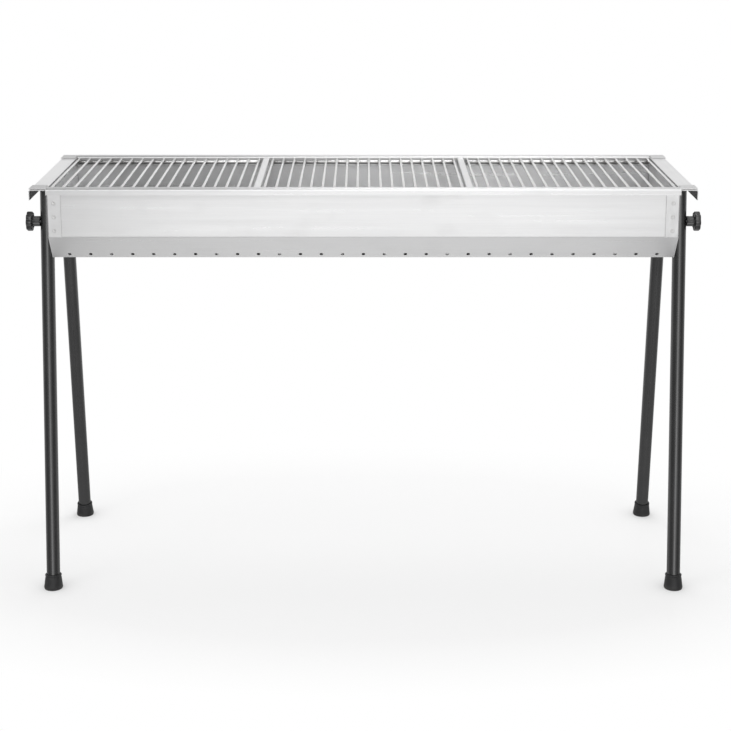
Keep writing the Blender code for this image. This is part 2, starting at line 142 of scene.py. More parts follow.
def put(tree, value, socket):
    """Links the value to the socket where it is one itself, and else sets it as a constant."""
    if isinstance(value, bpy.types.NodeSocket):
        tree.links.new(value, socket)
    else:
        socket.default_value = value


def feed(tree, node, **inputs):
    """Sets or links a node's inputs, named with underscores for spaces."""
    for name, value in inputs.items():
        put(tree, value, node.inputs[name.replace("_", " ")])
    return node


def noise(tree, vector, scale, detail=3.0, roughness=0.5):
    node = add(tree, "ShaderNodeTexNoise")
    feed(tree, node, Vector=vector, Scale=scale, Detail=detail, Roughness=roughness)
    return node.outputs["Fac"]


def stretched(tree, vector, scale):
    node = add(tree, "ShaderNodeMapping")
    feed(tree, node, Vector=vector, Scale=scale)
    return node.outputs["Vector"]


def remap(tree, value, low, high, to_low=0.0, to_high=1.0):
    node = add(tree, "ShaderNodeMapRange")
    feed(tree, node, Value=value, From_Min=low, From_Max=high, To_Min=to_low, To_Max=to_high)
    return node.outputs["Result"]


def maths(tree, operation, first, second):
    node = add(tree, "ShaderNodeMath", operation=operation)
    put(tree, first, node.inputs[0])
    put(tree, second, node.inputs[1])
    return node.outputs[0]


def scaled(tree, value, share):
    return maths(tree, "MULTIPLY", value, share)


def blend_colour(tree, factor, first, second, kind="MIX"):
    node = add(tree, "ShaderNodeMix", data_type="RGBA", blend_type=kind)
    for index, value in zip(MIX_COLOUR, (factor, first, second)):
        put(tree, (*value, 1.0) if isinstance(value, tuple) else value, node.inputs[index])
    return node.outputs[2]


def blend_value(tree, factor, first, second):
    node = add(tree, "ShaderNodeMix", data_type="FLOAT")
    for index, value in zip(MIX_VALUE, (factor, first, second)):
        put(tree, value, node.inputs[index])
    return node.outputs[0]


def bump(tree, height, strength, distance, normal=None):
    node = add(tree, "ShaderNodeBump")
    feed(tree, node, Height=height, Strength=strength, Distance=distance)
    if normal is not None:
        tree.links.new(normal, node.inputs["Normal"])
    return node.outputs["Normal"]


def new_group(name, inputs, outputs):
    """A shader node group with its sockets, as (group, its inputs, its output node)."""
    group = bpy.data.node_groups.new(name, "ShaderNodeTree")
    for label, kind, value in inputs:
        socket = group.interface.new_socket(label, in_out="INPUT", socket_type=kind)
        if value is not None:
            socket.default_value = value
    for label, kind in outputs:
        group.interface.new_socket(label, in_out="OUTPUT", socket_type=kind)
    return group, add(group, "NodeGroupInput").outputs, add(group, "NodeGroupOutput")


def use_group(tree, group, **inputs):
    node = add(tree, "ShaderNodeGroup", node_tree=group)
    feed(tree, node, **inputs)
    return node.outputs


# Effects that several finishes share

# How near another surface must stand to darken a colour with painted shade
PAINTED_SHADE_REACH = 0.012


def brushed_grain_group():
    """Fine parallel scratches, and the slow waves of a rolled sheet.

    Stretch is small along the grain.
    """
    group, given, out = new_group(
        "brushed_grain",
        [("Vector", "NodeSocketVector", None), ("Stretch", "NodeSocketVector", (10, 900, 900)),
         ("Depth", "NodeSocketFloat", 0.1), ("Waves", "NodeSocketVector", (4.5, 4.5, 1.5)),
         ("Wave Depth", "NodeSocketFloat", 0.0)],
        [("Grain", "NodeSocketFloat"), ("Streak", "NodeSocketFloat"),
         ("Normal", "NodeSocketVector")],
    )
    along = stretched(group, given["Vector"], given["Stretch"])
    fine = noise(group, along, 1.0, 4.0, 0.6)
    broad = noise(group, along, 0.13, 2.0, 0.5)
    group.links.new(fine, out.inputs["Grain"])
    group.links.new(broad, out.inputs["Streak"])
    height = maths(group, "ADD", fine, scaled(group, broad, 0.6))
    scratched = bump(group, height, given["Depth"], 0.0002)
    swell = noise(group, stretched(group, given["Vector"], given["Waves"]), 1.0, 1.0, 0.4)
    wavy = bump(group, swell, 1.0, given["Wave Depth"], scratched)
    group.links.new(wavy, out.inputs["Normal"])
    return group


def handling_group():
    """Slow clouds and faint smudges, each a mask from 0 to 1."""
    group, given, out = new_group(
        "handling_marks",
        [("Vector", "NodeSocketVector", None), ("Size", "NodeSocketFloat", 9.0)],
        [("Cloud", "NodeSocketFloat"), ("Smudge", "NodeSocketFloat")],
    )
    cloud = noise(group, given["Vector"], given["Size"], 2.0, 0.45)
    patch = noise(group, given["Vector"], 26.0, 5.0, 0.62)
    group.links.new(remap(group, cloud, 0.3, 0.7), out.inputs["Cloud"])
    group.links.new(remap(group, patch, 0.52, 0.78), out.inputs["Smudge"])
    return group


def worn_edge_group():
    """A mask that is 1 along sharp edges, broken up by noise."""
    group, given, out = new_group(
        "worn_edges",
        [("Vector", "NodeSocketVector", None), ("Width", "NodeSocketFloat", 0.0008)],
        [("Edge", "NodeSocketFloat")],
    )
    rounded = add(group, "ShaderNodeBevel", samples=4)
    group.links.new(given["Width"], rounded.inputs["Radius"])
    geometry = add(group, "ShaderNodeNewGeometry")
    apart = add(group, "ShaderNodeVectorMath", operation="DOT_PRODUCT")
    group.links.new(rounded.outputs["Normal"], apart.inputs[0])
    group.links.new(geometry.outputs["Normal"], apart.inputs[1])
    edge = remap(group, apart.outputs["Value"], 0.995, 0.9)
    broken = remap(group, noise(group, given["Vector"], 160.0, 4.0, 0.6), 0.4, 0.62)
    group.links.new(scaled(group, edge, broken), out.inputs["Edge"])
    return group


def painted_shade_group():
    """A mask of painted shade that is 1 where other surfaces stand close, read from ambient
    occlusion.
    """
    group, given, out = new_group(
        "painted_crevice_shade",
        [("Low", "NodeSocketFloat", 0.3), ("High", "NodeSocketFloat", 0.9)],
        [("Painted Shade", "NodeSocketFloat")],
    )
    near = add(group, "ShaderNodeAmbientOcclusion", samples=8)
    near.inputs["Distance"].default_value = PAINTED_SHADE_REACH
    close = remap(group, near.outputs["AO"], given["High"], given["Low"])
    group.links.new(close, out.inputs["Painted Shade"])
    return group


BRUSHED = brushed_grain_group()
HANDLING = handling_group()
WORN = worn_edge_group()
PAINTED_SHADE = painted_shade_group()


# Finishes

SMUDGE_ON_STEEL = (0.55, 0.54, 0.53)
SMUDGE_ON_ROD = (0.55, 0.52, 0.48)
# Darker colours blended in as painted shade where other surfaces stand close
STEEL_PAINTED_SHADE = (0.30, 0.295, 0.29)
ROD_PAINTED_SHADE = (0.40, 0.39, 0.38)
# Light colour along sharp sheet edges: partly the bare sheared metal, partly painted highlight
SHEARED_EDGE_AND_HIGHLIGHT = (0.95, 0.95, 0.95)
DUST_ON_COAT = (0.055, 0.054, 0.052)
RUBBED_COAT = (0.16, 0.16, 0.165)
DUST_ON_RUBBER = (0.11, 0.105, 0.10)
RUBBED_PLASTIC = (0.045, 0.045, 0.046)
ALONG_GRAIN, ACROSS_GRAIN = 12.0, 900.0


def new_material(name, metallic):
    """A material with its tree, its Principled shader and its object coordinates."""
    made = bpy.data.materials.new(name)
    made.use_nodes = True
    tree = made.node_tree
    shader = tree.nodes["Principled BSDF"]
    shader.inputs["Metallic"].default_value = metallic
    return made, tree, shader, add(tree, "ShaderNodeTexCoord").outputs["Object"]


def sheet_steel(
    name, bright, dull, along, roughness, depth, edges=0.5, painted_crevice_shade=0.4, waves=0.0012
):
    """Brushed stainless sheet, its grain along one axis, with smudges, painted shade where other
    surfaces stand close, and lighter sharp edges that are partly sheared metal and partly painted
    highlight.
    """
    made, tree, shader, place = new_material(name, 1.0)
    stretch = tuple(ALONG_GRAIN if part > 0.5 else ACROSS_GRAIN for part in along)
    grain_turn = add(tree, "ShaderNodeVectorMath", operation="CROSS_PRODUCT")
    put(tree, add(tree, "ShaderNodeNewGeometry").outputs["Normal"], grain_turn.inputs[0])
    put(tree, along, grain_turn.inputs[1])
    feed(tree, shader, Tangent=grain_turn.outputs["Vector"], Anisotropic=0.75)
    grain = use_group(tree, BRUSHED, Vector=place, Stretch=stretch, Depth=depth, Wave_Depth=waves)
    marks = use_group(tree, HANDLING, Vector=stretched(tree, place, (0.5, 1.0, 1.0)), Size=6.0)
    worn = use_group(tree, WORN, Vector=place, Width=0.0007)
    base = blend_colour(tree, marks["Cloud"], dull, bright)
    fleck = remap(tree, grain["Grain"], 0.25, 0.75, 0.975, 1.02)
    base = blend_colour(tree, 1.0, base, fleck, "MULTIPLY")
    base = blend_colour(tree, scaled(tree, marks["Smudge"], 0.06), base, SMUDGE_ON_STEEL)
    # Painted shade: the colour darkens where other surfaces stand close, as under the lip and
    # beside the tabs and bars
    close = scaled(tree, use_group(tree, PAINTED_SHADE)["Painted Shade"], painted_crevice_shade)
    base = blend_colour(tree, close, base, STEEL_PAINTED_SHADE)
    # Lighter along sharp edges: partly sheared metal, partly painted highlight where edges catch
    # light
    base = blend_colour(tree, scaled(tree, worn["Edge"], edges), base, SHEARED_EDGE_AND_HIGHLIGHT)
    feed(tree, shader, Base_Color=base, Normal=grain["Normal"])
    rough = remap(tree, grain["Streak"], 0.3, 0.7, roughness - 0.02, roughness + 0.03)
    rough = maths(tree, "ADD", rough, scaled(tree, marks["Smudge"], 0.04))
    feed(tree, shader, Roughness=rough)
    return made


def drawn_rod(name):
    """Bright drawn rod: drawing lines along it, a little tarnish, and painted shade where rods
    meet.
    """
    made, tree, shader, place = new_material(name, 1.0)
    grain = use_group(tree, BRUSHED, Vector=place, Stretch=(2200.0, 14.0, 2200.0), Depth=0.06)
    marks = use_group(tree, HANDLING, Vector=place, Size=30.0)
    base = blend_colour(tree, marks["Cloud"], (0.90, 0.90, 0.895), (0.96, 0.96, 0.96))
    base = blend_colour(tree, scaled(tree, marks["Smudge"], 0.16), base, SMUDGE_ON_ROD)
    # Painted shade where the rods meet the cross rods and each other
    close = scaled(tree, use_group(tree, PAINTED_SHADE)["Painted Shade"], 0.75)
    base = blend_colour(tree, close, base, ROD_PAINTED_SHADE)
    feed(tree, shader, Base_Color=base, Normal=grain["Normal"])
    feed(tree, shader, Roughness=remap(tree, grain["Grain"], 0.3, 0.7, 0.15, 0.24))
    return made


def zinc_plate(name):
    """Zinc plating: faintly mottled crystals and dull spots."""
    made, tree, shader, place = new_material(name, 1.0)
    marks = use_group(tree, HANDLING, Vector=place, Size=240.0)
    cells = add(tree, "ShaderNodeTexVoronoi")
    feed(tree, cells, Vector=place, Scale=900.0)
    base = blend_colour(tree, marks["Cloud"], (0.60, 0.61, 0.62), (0.74, 0.74, 0.73))
    rough = remap(tree, cells.outputs["Distance"], 0.0, 0.8, 0.26, 0.42)
    feed(tree, shader, Base_Color=base, Roughness=rough)
    feed(tree, shader, Normal=bump(tree, marks["Cloud"], 0.12, 0.0002))
    return made


def powder_coat(name):
    """Charcoal powder coat: fine orange peel, soft dust and rubbed edges."""
    made, tree, shader, place = new_material(name, 0.0)
    marks = use_group(tree, HANDLING, Vector=place, Size=14.0)
    worn = use_group(tree, WORN, Vector=place, Width=0.0006)
    peel = noise(tree, place, 1400.0, 2.0, 0.5)
    base = blend_colour(tree, marks["Cloud"], (0.009, 0.009, 0.0095), (0.013, 0.013, 0.0135))
    base = blend_colour(tree, scaled(tree, marks["Smudge"], 0.12), base, DUST_ON_COAT)
    base = blend_colour(tree, scaled(tree, worn["Edge"], 0.6), base, RUBBED_COAT)
    feed(tree, shader, Base_Color=base, Normal=bump(tree, peel, 0.10, 0.0003))
    rough = remap(tree, marks["Cloud"], 0.0, 1.0, 0.19, 0.25)
    feed(tree, shader, Roughness=rough, Specular_IOR_Level=1.0, IOR=1.7)
    return made


def moulded_rubber(name):
    """Matt rubber with a fine moulded skin and floor dust near the sole."""
    made, tree, shader, place = new_material(name, 0.0)
    marks = use_group(tree, HANDLING, Vector=place, Size=60.0)
    skin = noise(tree, place, 2600.0, 2.0, 0.5)
    height = add(tree, "ShaderNodeSeparateXYZ")
    put(tree, place, height.inputs[0])
    low = remap(tree, height.outputs["Z"], 0.010, 0.0, 0.0, 0.35)
    base = blend_colour(tree, marks["Cloud"], (0.020, 0.020, 0.021), (0.029, 0.029, 0.030))
    base = blend_colour(tree, scaled(tree, low, marks["Cloud"]), base, DUST_ON_RUBBER)
    feed(tree, shader, Base_Color=base, Normal=bump(tree, skin, 0.25, 0.0002))
    feed(tree, shader, Roughness=remap(tree, marks["Smudge"], 0.0, 1.0, 0.52, 0.68))
    return made


def moulded_plastic(name):
    """Satin black plastic with a fine spark-eroded texture, polished on the worn lobes."""
    made, tree, shader, place = new_material(name, 0.0)
    marks = use_group(tree, HANDLING, Vector=place, Size=80.0)
    worn = use_group(tree, WORN, Vector=place, Width=0.0010)
    skin = noise(tree, place, 3000.0, 3.0, 0.55)
    base = blend_colour(tree, marks["Cloud"], (0.007, 0.007, 0.0075), (0.012, 0.012, 0.0125))
    base = blend_colour(tree, scaled(tree, worn["Edge"], 0.5), base, RUBBED_PLASTIC)
    feed(tree, shader, Base_Color=base, Normal=bump(tree, skin, 0.08, 0.0002))
    rough = maths(tree, "SUBTRACT", 0.12, scaled(tree, worn["Edge"], 0.04))
    feed(tree, shader, Roughness=rough, Specular_IOR_Level=0.9, IOR=1.6)
    return made


# Mesh helpers

def finished(name, bm, finish, body, replaces=(), angle=35.0):
    """Makes the bmesh a piece of the object, on its body."""
    bmesh.ops.remove_doubles(bm, verts=bm.verts, dist=SAME_SPOT)
    bmesh.ops.recalc_face_normals(bm, faces=bm.faces)
    mesh = bpy.data.meshes.new(name)
    bm.to_mesh(mesh)
    bm.free()
    mesh.materials.append(finish)
    mesh.shade_smooth()
    mesh.set_sharp_from_angle(angle=math.radians(angle))
    piece = bpy.data.objects.new(name, mesh)
    bpy.context.scene.collection.objects.link(piece)
    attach(piece, body)
    if replaces:
        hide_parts(*replaces)


def gathered(parts):
    """One bmesh that holds all the given ones."""
    whole = bmesh.new()
    for part in parts:
        mesh = bpy.data.meshes.new("part")
        part.to_mesh(mesh)
        part.free()
        whole.from_mesh(mesh)
        bpy.data.meshes.remove(mesh)
    return whole


def moved(bm, matrix):
    """The same bmesh, moved in place."""
    bmesh.ops.transform(bm, matrix=matrix, verts=bm.verts)
    return bm


def round_bar(radius, length, sides, rounding, segments):
    """A bar along Z about the origin with rounded end edges."""
    bm = bmesh.new()
    bmesh.ops.create_cone(
        bm, cap_ends=True, segments=sides, radius1=radius, radius2=radius, depth=length
    )
    rims = [edge for edge in bm.edges if abs(edge.verts[0].co.z - edge.verts[1].co.z) < length / 2]
    bmesh.ops.bevel(
        bm, geom=rims, offset=rounding, segments=segments, profile=0.5, affect="EDGES", material=-1
    )
    return bm


def turned(profile, sides):
    """A solid turned about Z from (radius, height) points.

    The profile is closed unless it starts and ends on the axis.
    """
    bm = bmesh.new()
    ring = [bm.verts.new((radius, 0, height)) for radius, height in profile]
    pairs = list(zip(ring, ring[1:]))
    if profile[0][0] > 0:
        pairs.append((ring[-1], ring[0]))
    edges = [bm.edges.new(pair) for pair in pairs]
    bmesh.ops.spin(
        bm, geom=ring + edges, cent=(0, 0, 0), axis=(0, 0, 1),
        angle=2 * math.pi, steps=sides, use_merge=True,
    )
    bmesh.ops.remove_doubles(bm, verts=bm.verts, dist=SAME_SPOT)
    return bm


def drilled(bm, tool):
    """The bmesh with the tool's space cut out of it."""
    meshes = []
    for source, name in ((bm, "blank"), (tool, "drill")):
        bmesh.ops.recalc_face_normals(source, faces=source.faces)
        mesh = bpy.data.meshes.new(name)
        source.to_mesh(mesh)
        source.free()
        meshes.append(bpy.data.objects.new(name, mesh))
        bpy.context.scene.collection.objects.link(meshes[-1])
    blank, drill = meshes
    step = blank.modifiers.new("drill", "BOOLEAN")
    step.operation = "DIFFERENCE"
    step.solver = "EXACT"
    step.use_self = True
    step.object = drill
    bpy.context.view_layer.update()
    result = bmesh.new()
    result.from_object(blank, bpy.context.evaluated_depsgraph_get())
    for spent in meshes:
        bpy.data.objects.remove(spent, do_unlink=True)
    return result


# Pieces

def cooking_grate(place, finish):
    """Round-ended rods on two cross rods, with a weld bead at each crossing."""
    node = "cooking_grate_" + place
    low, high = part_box(node)
    length = high.y - low.y
    top = high.z - ROD_RADIUS
    pitch = (high.x - low.x - 2 * ROD_RADIUS) / (RODS - 1)
    parts = []
    lay_y = Matrix.Rotation(math.pi / 2, 4, "X")
    lay_x = Matrix.Rotation(math.pi / 2, 4, "Y")
    for number in range(RODS):
        x = low.x + ROD_RADIUS + number * pitch
        spot = Matrix.Translation((x, (low.y + high.y) / 2, top))
        rod = round_bar(ROD_RADIUS, length, ROD_SIDES, ROD_RADIUS * 0.75, 4)
        parts.append(moved(rod, spot @ lay_y))
    for y in (low.y + CROSS_INSET, high.y - CROSS_INSET):
        spot = Matrix.Translation(((low.x + high.x) / 2, y, top - CROSS_DROP))
        cross = round_bar(CROSS_RADIUS, high.x - low.x, ROD_SIDES, CROSS_RADIUS * 0.3, 3)
        parts.append(moved(cross, spot @ lay_x))
        for number in range(RODS):
            x = low.x + ROD_RADIUS + number * pitch
            bead = bmesh.new()
            bmesh.ops.create_uvsphere(bead, u_segments=8, v_segments=5, radius=ROD_RADIUS)
            bmesh.ops.scale(bead, verts=bead.verts, vec=WELD_BEAD)
            parts.append(moved(bead, Matrix.Translation((x, y, top - CROSS_DROP / 2))))
    finished(
        "grate_rods_" + place, gathered(parts), finish,
        "grate_" + place, (node,), 50.0,
    )


def corner_joint(depth, end):
    """The bolt axis point of a corner's leg, from its joint."""
    name = "leg_" + depth[0] + end[0] + "_swing"
    found = [joint for joint in frame["joints"] if joint["name"] == name]
    return Vector(found[0]["pos_m"])


def leg_frame(pivot, face):
    """Turns a leg drawn upright about its pivot into its splayed place."""
    return Matrix.Translation(pivot) @ Matrix.Rotation(face * SPLAY, 4, "X")


def leg_tube(depth, face, end, finish):
    """A tube from under the side flange to the floor of its foot, with the bolt's cross hole."""
    pivot = corner_joint(depth, end)
    below = pivot.z / math.cos(SPLAY) - FOOT_FLOOR
    above = PIVOT_BELOW_RIM - (2 * SHEET + GAP + TUBE_HEAD_GAP) - TUBE_RADIUS * math.tan(SPLAY)
    inner = TUBE_RADIUS - TUBE_WALL
    ease = TUBE_WALL * 0.3
    profile = [
        (inner, -below), (TUBE_RADIUS, -below), (TUBE_RADIUS, above - ease),
        (TUBE_RADIUS - ease, above), (inner + ease, above), (inner, above - ease),
    ]
    drill = round_bar(BOLT_HOLE, 4 * TUBE_RADIUS, BORE_SIDES, 0.0004, 1)
    moved(drill, Matrix.Rotation(math.pi / 2, 4, "Y"))
    tube = moved(drilled(turned(profile, ROUND_SIDES), drill), leg_frame(pivot, face))
    finished(
        "tube_" + depth + "_" + end, tube, finish,
        "leg_" + depth[0] + end[0], ("leg_" + depth + "_" + end,),
    )


def rubber_foot(depth, face, end, finish):
    """A flared tip with a rolled lip and an undercut line, cut flat on the floor."""
    pivot = corner_joint(depth, end)
    bottom = -pivot.z / math.cos(SPLAY)
    bore = TUBE_RADIUS + GAP
    profile = [
        (0.0, -0.0045), (0.0160, -0.0045), (0.0168, 0.0004), (0.0174, 0.0014),
        (0.0176, 0.0027), (0.0175, 0.0040), (0.0172, 0.0058), (0.0154, 0.0195),
        (0.0152, 0.0212), (0.0146, 0.0219), (0.0145, 0.0227), (0.0150, 0.0235),
        (0.0154, 0.0243), (0.0154, 0.0259), (0.0151, 0.0267), (0.0145, 0.0270),
        (bore + 0.0004, FOOT_HEIGHT), (bore, FOOT_HEIGHT - 0.0004),
        (bore, FOOT_FLOOR - GAP), (0.0, FOOT_FLOOR - GAP),
    ]
    foot = turned([(radius, height + bottom) for radius, height in profile], ROUND_SIDES)
    moved(foot, leg_frame(pivot, face))
    trimmed = bmesh.ops.bisect_plane(
        foot, geom=foot.verts[:] + foot.edges[:] + foot.faces[:],
        plane_co=(0, 0, 0), plane_no=(0, 0, -1), clear_outer=True,
    )
    rim = [item for item in trimmed["geom_cut"] if isinstance(item, bmesh.types.BMEdge)]
    bmesh.ops.edgeloop_fill(foot, edges=rim)
    finished(
        "rubber_tip_" + depth + "_" + end, foot, finish,
        "leg_" + depth[0] + end[0], ("foot_" + depth + "_" + end,),
    )


def fluted_bar(radius, depth, lobes, start, end, rounding, segments):
    """A bar along Z with evenly spaced hollows along it and rounded ends."""
    sides = lobes * 12
    bm = round_bar(radius, end - start, sides, rounding, segments)
    for vert in bm.verts:
        across = math.hypot(vert.co.x, vert.co.y)
        if across > SAME_SPOT:
            turn = math.atan2(vert.co.y, vert.co.x)
            hollow = depth * (0.5 - 0.5 * math.cos(lobes * turn)) ** 1.5
            bmesh.ops.scale(bm, verts=[vert], vec=(1 - hollow / radius, 1 - hollow / radius, 1))
    return moved(bm, Matrix.Translation((0, 0, (start + end) / 2)))


def hand_knob(depth, end_sign, end, finish):
    """A fluted head with a crowned, dished face on a ribbed stem."""
    node = "knob_" + depth + "_" + end
    low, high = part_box(node)
    pivot = corner_joint(depth, end)
    length = high.x - low.x
    head = fluted_bar(
        KNOB_RADIUS, KNOB_FLUTE, KNOB_LOBES, KNOB_STEM, length - 0.0008, rounding=0.0020, segments=4
    )
    crown = turned([
        (0.0, length - 0.0030), (0.0125, length - 0.0030), (0.0125, length - 0.0009),
        (0.0118, length - 0.0002), (0.0105, length), (0.0090, length - 0.0004),
        (0.0070, length - 0.0009), (0.0, length - 0.0011),
    ], ROUND_SIDES)
    stem = fluted_bar(
        KNOB_STEM_RADIUS, STEM_RIB_DEPTH, STEM_RIBS, 0.0, KNOB_STEM + 0.004,
        rounding=0.0004, segments=2,
    )
    collar = turned([
        (0.0, KNOB_STEM - 0.0012), (0.0112, KNOB_STEM - 0.0012), (0.0118, KNOB_STEM - 0.0006),
        (0.0118, KNOB_STEM + 0.002), (0.0, KNOB_STEM + 0.002),
    ], ROUND_SIDES)
    bore = round_bar(BOLT_RADIUS + GAP, 2 * KNOB_BORE, BORE_SIDES, 0.0002, 1)
    whole = drilled(gathered([head, crown, stem, collar]), bore)
    start = low.x if end_sign > 0 else high.x
    out = Matrix.Rotation(end_sign * math.pi / 2, 4, "Y")
    moved(whole, Matrix.Translation((start, pivot.y, pivot.z)) @ out)
    finished(
        "hand_knob_" + depth + "_" + end, whole, finish,
        "knob_" + depth[0] + end[0], (node,), 30.0,
    )


def threaded_stud(depth, end, finish):
    """A stud with M8 thread ridges and a chamfered tip."""
    node = "knob_bolt_" + depth + "_" + end
    low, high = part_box(node)
    middle = (low + high) / 2
    length = high.x - low.x
    root = BOLT_RADIUS - THREAD_DEPTH
    profile = [(0.0, 0.0), (root, 0.0)]
    for turn in range(int(length / THREAD_PITCH) - 1):
        base = THREAD_PITCH * (turn + 0.5)
        profile += [
            (root, base + 0.1 * THREAD_PITCH),
            (BOLT_RADIUS, base + 0.45 * THREAD_PITCH), (BOLT_RADIUS, base + 0.55 * THREAD_PITCH),
        ]
    profile += [(root, length), (0.0, length)]
    stud = turned(profile, BORE_SIDES)
    spot = Matrix.Translation((low.x, middle.y, middle.z))
    moved(stud, spot @ Matrix.Rotation(math.pi / 2, 4, "Y"))
    finished(
        "stud_" + depth + "_" + end, stud, finish,
        "knob_" + depth[0] + end[0], (node,), 25.0,
    )


def weld_nut(depth, end, finish):
    """A hexagon nut with chamfered corners."""
    node = "weld_nut_" + depth + "_" + end
    low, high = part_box(node)
    middle = (low + high) / 2
    height = high.x - low.x
    corner = NUT_ACROSS_FLATS / math.sqrt(3)
    blank = round_bar(corner, height, 6, 0.0005, 2)
    moved(blank, Matrix.Rotation(math.pi / 2, 4, "Z"))
    nut = drilled(blank, round_bar(BOLT_RADIUS + GAP, 2 * height, BORE_SIDES, 0.0002, 1))
    moved(nut, Matrix.Translation(middle) @ Matrix.Rotation(math.pi / 2, 4, "Y"))
    finished(
        "hex_nut_" + depth + "_" + end, nut, finish, "trough", (node,), 25.0
    )


def spot_welds(depth, face, end_sign, end, finish):
    """Three pressed weld dimples down one tab of an end plate."""
    low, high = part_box("end_plate_" + end)
    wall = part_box("trough_shell")[1].y - FLANGE + GAP + SHEET
    outer = high.x if end_sign > 0 else low.x
    x = outer - end_sign * (SIDE_FLANGE + TAB_WIDTH * 0.5)
    ring = [
        (0.0, -0.0006), (0.0040, -0.0006), (0.0040, 0.00002), (0.0035, 0.00016),
        (0.0028, 0.00016), (0.0021, 0.00004), (0.0, 0.00002),
    ]
    out = Matrix.Rotation(-face * math.pi / 2, 4, "X")
    welds = []
    for drop in WELD_DROPS:
        spot = Matrix.Translation((x, face * wall, high.z - drop))
        welds.append(moved(turned(ring, 24), spot @ out))
    finished(
        "spot_welds_" + depth + "_" + end, gathered(welds), finish,
        "trough", (), 60.0,
    )


def build_object():
    lengthwise = (1.0, 0.05, 0.0)
    crosswise = (0.0, 1.0, 0.05)
    long_sheet = sheet_steel(
        "stainless_grain_long", (0.87, 0.87, 0.87), (0.83, 0.83, 0.835), lengthwise,
        roughness=0.29, depth=0.008, waves=0.0004,
    )
    # End plate steel a little lighter than the shell's: painted light, so end plates, tabs, side
    # flanges and cross bars render lighter
    end_sheet_painted_light = sheet_steel(
        "stainless_grain_across", (0.92, 0.92, 0.92), (0.88, 0.88, 0.885), crosswise,
        roughness=0.30, depth=0.008, waves=0.0004,
    )
    tray_sheet = sheet_steel(
        "tray_sheet", (0.64, 0.64, 0.64), (0.56, 0.56, 0.565), lengthwise,
        roughness=0.38, depth=0.12,
    )
    # Ledge steel is darker than the shell's: painted shade for the ledges' shaded tops between the
    # rods; its edges at full strength are a painted highlight
    ledge_painted_shade_and_highlight = sheet_steel(
        "ledge_painted_shade_and_highlight", (0.62, 0.62, 0.62), (0.54, 0.54, 0.545), lengthwise,
        roughness=0.38, depth=0.10, edges=1.0, painted_crevice_shade=0.1,
    )
    weld_sheet = sheet_steel(
        "weld_dimples", (0.86, 0.86, 0.855), (0.80, 0.795, 0.79), crosswise,
        roughness=0.32, depth=0.03,
    )
    rods = drawn_rod("drawn_rod")
    zinc = zinc_plate("zinc_plate")
    coat = powder_coat("charcoal_powder_coat")
    rubber = moulded_rubber("moulded_rubber")
    plastic = moulded_plastic("satin_black_plastic")

    nodes = frame["nodes"]
    for name, finish in (
        ("trough_shell", long_sheet), ("ledge_front", ledge_painted_shade_and_highlight), ("ledge_rear", ledge_painted_shade_and_highlight),
        ("end_plate_left", end_sheet_painted_light), ("end_plate_right", end_sheet_painted_light),
        ("cross_bar_left", end_sheet_painted_light), ("cross_bar_right", end_sheet_painted_light),
        ("charcoal_tray_left", tray_sheet), ("charcoal_tray_middle", tray_sheet),
        ("charcoal_tray_right", tray_sheet),
    ):
        for place in nodes[name].material_slots:
            place.material = finish

    for place in PLACES:
        cooking_grate(place, rods)
    for face, depth in DEPTHS:
        for end_sign, end in ENDS:
            leg_tube(depth, face, end, coat)
            rubber_foot(depth, face, end, rubber)
            hand_knob(depth, end_sign, end, plastic)
            threaded_stud(depth, end, zinc)
            weld_nut(depth, end, zinc)
            spot_welds(depth, face, end_sign, end, weld_sheet)


# Studio

# Brightness by heading in degrees: 0 is towards the camera, 90 to the right
HEADINGS = (
    (-180, 0.84), (-150, 0.82), (-108, 0.55), (-78, 0.16), (-38, 0.16), (-28, 0.34),
    (-14, 0.34), (-11, 0.84), (-6, 1.46), (0, 1.20), (5, 1.42), (11, 1.26), (15, 0.60),
    (30, 0.45), (40, 0.16), (78, 0.16), (108, 0.55), (150, 0.82), (180, 0.84),
)
# Share of that by the sine of the height above eye level
HEIGHTS = (
    (-1.0, 0.5), (-0.6, 0.42), (-0.42, 0.52), (-0.3, 0.94), (-0.2, 1.0), (0.2, 1.0),
    (0.36, 0.88), (0.55, 0.5), (0.7, 0.35), (1.0, 0.3),
)
# Lit panel above the camera, added by the same sine
PANEL = ((-1.0, 0.0), (0.36, 0.0), (0.40, 1.1), (0.58, 1.1), (0.62, 0.0), (1.0, 0.0))
# Flat grey well below eye level
BELOW = 0.32
# Ceiling and ground, by sideways slope
CEILING = ((-0.3, 0.06), (-0.08, 0.10), (0.0, 0.60), (0.11, 0.85), (0.3, 0.5))
GROUND = (
    (-0.3, 0.50), (-0.17, 0.58), (-0.12, 0.71), (0.0, 0.76), (0.12, 0.74), (0.17, 0.70),
    (0.3, 0.5),
)
# Where each fades in, along the direction's Y for the panel and its Z for the others
PANEL_FADE = (-0.35, -0.65)
BELOW_FADE = (-0.30, -0.42)
CEILING_FADE = (0.72, 0.88)
GROUND_FADE = (-0.65, -0.85)
MOST_LEVEL = 2.0
# What pale diffuse surfaces get from the world
AMBIENT = 0.93

FLOOR_RADIUS = 40.0
FLOOR_COLOUR = (0.92, 0.92, 0.92)
CONTACT_COLOUR = (0.45, 0.45, 0.45)
CONTACT_REACH = 0.045
# Least share of plain white in the floor, and where it grows to all of it
FLOOR_WHITENING = 0.40
WHITE_FROM, WHITE_TO = 0.45, 1.05

